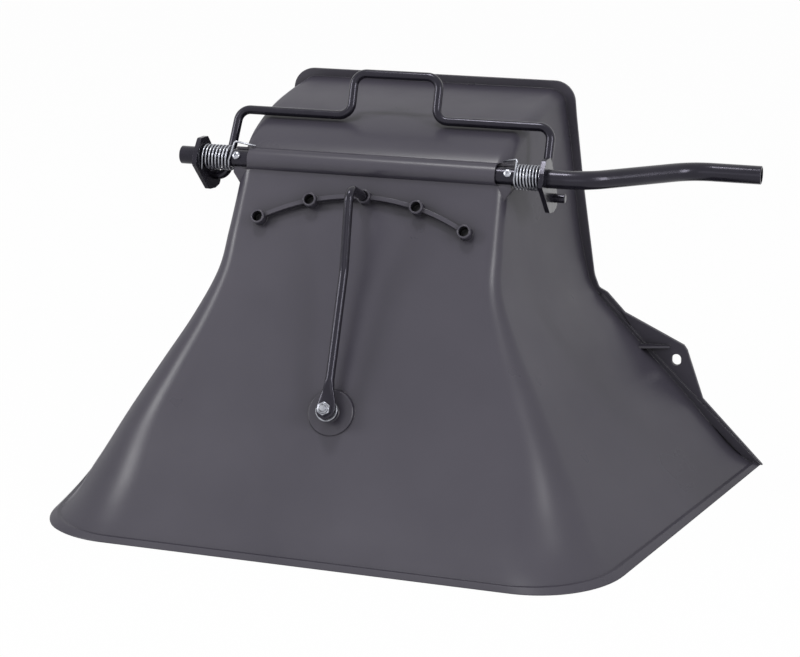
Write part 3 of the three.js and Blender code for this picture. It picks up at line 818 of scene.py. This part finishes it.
def zinc_plate(name, low, high):
    """Bright zinc with a faint grain in colour and gloss."""
    n = Nodes(name)
    n.join(n.ramp(n.noise(220, 4), (0.30, 0.31, 0.35), (0.46, 0.47, 0.51)),
           n.shader.inputs["Base Color"])
    n.join(n.spread(n.noise(300, 4), low, high), n.shader.inputs["Roughness"])
    n.join(n.bump(n.noise(700, 3), 0.08, 0.0002, n.soft_edge(0.0003)), n.shader.inputs["Normal"])
    n.shader.inputs["Metallic"].default_value = 1.0
    return n.material


# Places a piece on its body in the stead of one node, which it hides, with its material.
def dress(obj, degrees, material, body, node):
    smooth_by_angle(obj, degrees)
    obj.data.materials.clear()
    obj.data.materials.append(material)
    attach(obj, body)
    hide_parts(node)


# Camera.
def make_camera():
    a, e = CAMERA_TURN, CAMERA_TILT
    back = vec(math.sin(a) * math.cos(e), -math.cos(a) * math.cos(e), math.sin(e))
    right = vec(math.cos(a), math.sin(a), 0)
    up = np.cross(back, right)
    place = back * CAMERA_AWAY - right * CAMERA_SIDE - up * CAMERA_RISE
    data = bpy.data.cameras.new("camera")
    data.sensor_width = 36
    data.lens = data.sensor_width * FOCAL_PIXELS / PICTURE_WIDTH
    data.clip_end = 100
    camera = bpy.data.objects.new("camera", data)
    turn = Matrix((right, up, back)).transposed()
    camera.matrix_world = Matrix.Translation(Vector((place + SHIFT) / 1000)) @ turn.to_4x4()
    bpy.context.scene.collection.objects.link(camera)
    bpy.context.scene.camera = camera


# Light and surroundings.
def area_lamp(name, place, target, size, power):
    data = bpy.data.lights.new(name, "AREA")
    data.shape = "RECTANGLE"
    data.size, data.size_y = size
    data.energy = power
    lamp = bpy.data.objects.new(name, data)
    lamp.location = place
    aim = Vector(target) - Vector(place)
    lamp.rotation_euler = aim.to_track_quat("-Z", "Y").to_euler()
    bpy.context.scene.collection.objects.link(lamp)


def seen_rays(tree):
    """1 for rays that the camera sees straight, in gloss or through glass."""
    path = tree.nodes.new("ShaderNodeLightPath")
    total = path.outputs["Is Camera Ray"]
    for name in ("Is Glossy Ray", "Is Transmission Ray"):
        most = tree.nodes.new("ShaderNodeMath")
        most.operation = "MAXIMUM"
        tree.links.new(total, most.inputs[0])
        tree.links.new(path.outputs[name], most.inputs[1])
        total = most.outputs[0]
    return total


def make_world():
    world = bpy.data.worlds.new("studio")
    bpy.context.scene.world = world
    world.use_nodes = True
    tree = world.node_tree
    tree.nodes.clear()
    seen = tree.nodes.new("ShaderNodeBackground")
    seen.inputs["Color"].default_value = (1, 1, 1, 1)
    light = tree.nodes.new("ShaderNodeBackground")
    light.inputs["Color"].default_value = (0.97, 0.98, 1, 1)
    light.inputs["Strength"].default_value = SKY_STRENGTH
    mix = tree.nodes.new("ShaderNodeMixShader")
    out = tree.nodes.new("ShaderNodeOutputWorld")
    tree.links.new(seen_rays(tree), mix.inputs["Fac"])
    tree.links.new(light.outputs[0], mix.inputs[1])
    tree.links.new(seen.outputs[0], mix.inputs[2])
    tree.links.new(mix.outputs[0], out.inputs["Surface"])


def make_floor():
    mesh = bpy.data.meshes.new("floor")
    reach, low = FLOOR_REACH, FLOOR_Z
    corners = [(-reach, -reach, low), (reach, -reach, low), (reach, reach, low), (-reach, reach, low)]
    mesh.from_pydata(corners, [], [(0, 1, 2, 3)])
    floor = bpy.data.objects.new("floor", mesh)
    bpy.context.scene.collection.objects.link(floor)
    material = bpy.data.materials.new("pale_floor")
    material.use_nodes = True
    tree = material.node_tree
    tree.nodes.clear()
    matt = tree.nodes.new("ShaderNodeBsdfDiffuse")
    matt.inputs["Color"].default_value = (0.9, 0.9, 0.9, 1)
    glow = tree.nodes.new("ShaderNodeEmission")
    share = tree.nodes.new("ShaderNodeMath")
    share.operation = "MULTIPLY"
    share.inputs[1].default_value = FLOOR_WHITE
    mix = tree.nodes.new("ShaderNodeMixShader")
    out = tree.nodes.new("ShaderNodeOutputMaterial")
    tree.links.new(seen_rays(tree), share.inputs[0])
    tree.links.new(share.outputs[0], mix.inputs["Fac"])
    tree.links.new(matt.outputs[0], mix.inputs[1])
    tree.links.new(glow.outputs[0], mix.inputs[2])
    tree.links.new(mix.outputs[0], out.inputs["Surface"])
    mesh.materials.append(material)


def make_lights():
    area_lamp("overhead", (-0.35, -0.45, 2.9), AIM, (0.5, 0.5), 28)
    area_lamp("left", (-2.35, -1.45, 1.5), AIM, (0.8, 1.1), 32)
    area_lamp("right", (2.3, -1.15, 1.35), AIM, (0.7, 1.2), 28)
    area_lamp("fill", (0.6, -3.0, 0.9), AIM, (2.0, 1.2), 5)


make_camera()
make_world()
make_floor()
make_lights()

plastic = moulded_plastic("hood_plastic_fine", PLASTIC_DARK, PLASTIC_LIGHT, 0.27, 0.36)
paint = gloss_paint()
zinc = zinc_plate("zinc_fine", 0.22, 0.38)

dress(make_hood(), 28, plastic, "hood", "hood_shell")
dress(make_tube(), 40, paint, "hood", "cross_tube")
dress(make_bail(), 40, paint, "latch", "bail_handle")
for end in ("left", "right"):
    dress(make_spring(end), 50, zinc, "hood", f"torsion_spring_{end}")
    dress(make_screw(end), 35, zinc, "hood", f"tube_screw_{end}")
    dress(make_plate(end), 30, paint, "latch", f"latch_plate_{end}")
dress(make_lever(), 40, paint, "lever", "adjuster_lever")

inner_seat = -SEAT_DEPTH - VANE_SHEET - WASHER_THICK - 2 * GAP
stack = [
    (make_washer("lever_washer_fine", BOSS_HEIGHT + GAP), "lever_washer"),
    (make_washer("inner_washer_fine", inner_seat), "inner_washer"),
    (make_nut(), "pivot_nut"),
    (make_bolt(), "pivot_bolt"),
]
for piece, node in stack:
    dress(piece, 35, zinc, "lever", node)

# The hidden vane keeps the solid's own shape.
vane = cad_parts["steering_vane"]
for index in range(len(vane.material_slots)):
    vane.material_slots[index].material = paint

bpy.context.scene.view_settings.view_transform = "Standard"
